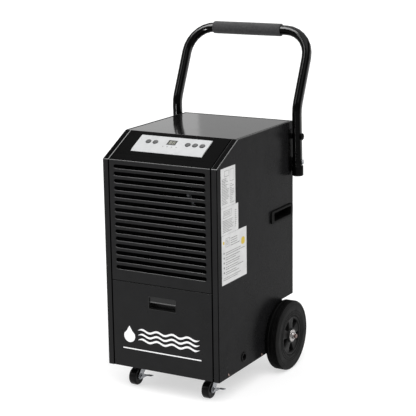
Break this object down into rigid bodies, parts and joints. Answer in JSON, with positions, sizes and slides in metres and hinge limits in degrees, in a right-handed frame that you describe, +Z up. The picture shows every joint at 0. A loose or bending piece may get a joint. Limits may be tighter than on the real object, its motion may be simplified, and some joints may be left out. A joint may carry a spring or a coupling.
{
  "type": "dehumidifier",
  "caption": "Upright commercial dehumidifier: black sheet-metal cabinet with slotted front, sloped control face, pull-out tank, large rear wheels, braked casters and a folding push handle.",
  "frame": {"origin": "on the floor, under the middle of the machine's box with the handle up", "axes": "+Z up; +Y towards the rear, where the handle is; +X to the machine's left-hand side as it faces forward, which is the right-hand side for a person looking at its front"},
  "size_m": [0.462, 0.549, 0.982],
  "materials": {
    "cabinet_paint": "black powder coat, semi-gloss",
    "gloss_paint": "black gloss",
    "handle_paint": "black gloss tube",
    "galvanised": "galvanised sheet",
    "black_plastic": "black moulded plastic",
    "black_rubber": "black rubber",
    "tyre": "black rubber tread",
    "zinc": "bright zinc plate",
    "copper": "copper tube",
    "fin": "aluminium fins",
    "motor_paint": "black enamel",
    "bezel": "white overlay",
    "button": "dark keycap",
    "lens": "dark display window",
    "foam": "foam sleeve",
    "tank_plastic": "grey translucent plastic",
    "float_plastic": "white plastic",
    "board": "circuit board"
  },
  "bodies": {
    "cabinet": {"base_pan": "galvanised", "deck": "galvanised", "side_panel_left": "cabinet_paint", "side_panel_right": "cabinet_paint", "top_panel": "cabinet_paint", "rear_panel": "cabinet_paint", "front_grille": "cabinet_paint", "control_panel": "gloss_paint", "control_bezel": "bezel", "display_window": "lens", "indicator_lights": "lens", "control_board": "board", "drip_tray": "black_plastic", "evaporator_coil": "fin", "condenser_coil": "fin", "fan_shroud": "galvanised", "fan_motor": "motor_paint", "compressor": "motor_paint", "hot_gas_pipe": "copper", "suction_pipe": "copper", "power_gland": "black_plastic", "drain_port": "black_rubber", "side_grip_left": "black_plastic", "side_grip_right": "black_plastic", "rear_axle": "zinc", "axle_nut_left": "zinc", "axle_nut_right": "zinc", "caster_plate_left": "zinc", "caster_plate_right": "zinc", "handle_bracket_left": "motor_paint", "handle_bracket_right": "motor_paint", "pivot_bolt_left": "zinc", "pivot_bolt_right": "zinc"},
    "wheel_left": {"wheel_tyre_left": "tyre", "wheel_hub_left": "black_plastic"},
    "wheel_right": {"wheel_tyre_right": "tyre", "wheel_hub_right": "black_plastic"},
    "caster_fork_left_body": {"caster_fork_left": "zinc"},
    "caster_fork_right_body": {"caster_fork_right": "zinc"},
    "caster_wheel_left_body": {"caster_wheel_left": "black_rubber"},
    "caster_wheel_right_body": {"caster_wheel_right": "black_rubber"},
    "caster_brake_left_body": {"caster_brake_left": "zinc"},
    "caster_brake_right_body": {"caster_brake_right": "zinc"},
    "handle": {"handle_tube": "handle_paint", "handle_grip": "foam", "handle_end_cap_left": "black_plastic", "handle_end_cap_right": "black_plastic"},
    "lock_knob_left_body": {"lock_knob_left": "black_plastic"},
    "lock_knob_right_body": {"lock_knob_right": "black_plastic"},
    "tank": {"water_tank": "tank_plastic", "tank_front": "cabinet_paint", "tank_pull": "black_plastic"},
    "float": {"float_arm": "float_plastic"},
    "filter": {"air_filter": "black_plastic"},
    "fan": {"fan_rotor": "black_plastic"},
    "key_left_outer": {"button_left_outer": "button"},
    "key_left_inner": {"button_left_inner": "button"},
    "key_right_inner": {"button_right_inner": "button"},
    "key_right_middle": {"button_right_middle": "button"},
    "key_right_outer": {"button_right_outer": "button"}
  },
  "joints": [
    {"name": "wheel_left_roll", "type": "hinge", "parent": "cabinet", "child": "wheel_left", "pos_m": [-0.1985, 0.09035, 0.1014], "axis": [1, 0, 0], "continuous": true},
    {"name": "wheel_right_roll", "type": "hinge", "parent": "cabinet", "child": "wheel_right", "pos_m": [0.1985, 0.09035, 0.1014], "axis": [1, 0, 0], "continuous": true},
    {"name": "caster_left_swivel", "type": "hinge", "parent": "cabinet", "child": "caster_fork_left_body", "pos_m": [-0.1178, -0.20235, 0.058], "axis": [0, 0, 1], "continuous": true},
    {"name": "caster_left_roll", "type": "hinge", "parent": "caster_fork_left_body", "child": "caster_wheel_left_body", "pos_m": [-0.1178, -0.22635, 0.025], "axis": [1, 0, 0], "continuous": true},
    {"name": "caster_left_brake", "type": "hinge", "parent": "caster_fork_left_body", "child": "caster_brake_left_body", "pos_m": [-0.1025, -0.22635, 0.025], "axis": [1, 0, 0], "range_deg": [0, 28]},
    {"name": "caster_right_swivel", "type": "hinge", "parent": "cabinet", "child": "caster_fork_right_body", "pos_m": [0.1178, -0.20235, 0.058], "axis": [0, 0, 1], "continuous": true},
    {"name": "caster_right_roll", "type": "hinge", "parent": "caster_fork_right_body", "child": "caster_wheel_right_body", "pos_m": [0.1178, -0.22635, 0.025], "axis": [1, 0, 0], "continuous": true},
    {"name": "caster_right_brake", "type": "hinge", "parent": "caster_fork_right_body", "child": "caster_brake_right_body", "pos_m": [0.1331, -0.22635, 0.025], "axis": [1, 0, 0], "range_deg": [0, 28]},
    {"name": "handle_fold", "type": "hinge", "parent": "cabinet", "child": "handle", "pos_m": [0, 0.16665, 0.6], "axis": [1, 0, 0], "range_deg": [0, 78]},
    {"name": "lock_knob_left_pull", "type": "slide", "parent": "handle", "child": "lock_knob_left_body", "axis": [-1, 0, 0], "range_m": [0, 0.008], "stiffness_N_per_m": 400},
    {"name": "lock_knob_right_pull", "type": "slide", "parent": "handle", "child": "lock_knob_right_body", "axis": [1, 0, 0], "range_m": [0, 0.008], "stiffness_N_per_m": 400},
    {"name": "tank_slide", "type": "slide", "parent": "cabinet", "child": "tank", "axis": [0, -1, 0], "range_m": [0, 0.215]},
    {"name": "float_lift", "type": "hinge", "parent": "tank", "child": "float", "pos_m": [-0.09, -0.06135, 0.271], "axis": [-1, 0, 0], "range_deg": [0, 25]},
    {"name": "filter_lift", "type": "slide", "parent": "cabinet", "child": "filter", "axis": [0, 0, 1], "range_m": [0, 0.33]},
    {"name": "fan_spin", "type": "hinge", "parent": "cabinet", "child": "fan", "pos_m": [0, 0.04765, 0.52], "axis": [0, 1, 0], "continuous": true},
    {"name": "key_left_outer_press", "type": "slide", "parent": "cabinet", "child": "key_left_outer", "axis": [0, 0.4592, -0.8883], "range_m": [0, 0.0012], "stiffness_N_per_m": 300},
    {"name": "key_left_inner_press", "type": "slide", "parent": "cabinet", "child": "key_left_inner", "axis": [0, 0.4592, -0.8883], "range_m": [0, 0.0012], "stiffness_N_per_m": 300},
    {"name": "key_right_inner_press", "type": "slide", "parent": "cabinet", "child": "key_right_inner", "axis": [0, 0.4592, -0.8883], "range_m": [0, 0.0012], "stiffness_N_per_m": 300},
    {"name": "key_right_middle_press", "type": "slide", "parent": "cabinet", "child": "key_right_middle", "axis": [0, 0.4592, -0.8883], "range_m": [0, 0.0012], "stiffness_N_per_m": 300},
    {"name": "key_right_outer_press", "type": "slide", "parent": "cabinet", "child": "key_right_outer", "axis": [0, 0.4592, -0.8883], "range_m": [0, 0.0012], "stiffness_N_per_m": 300}
  ]
}
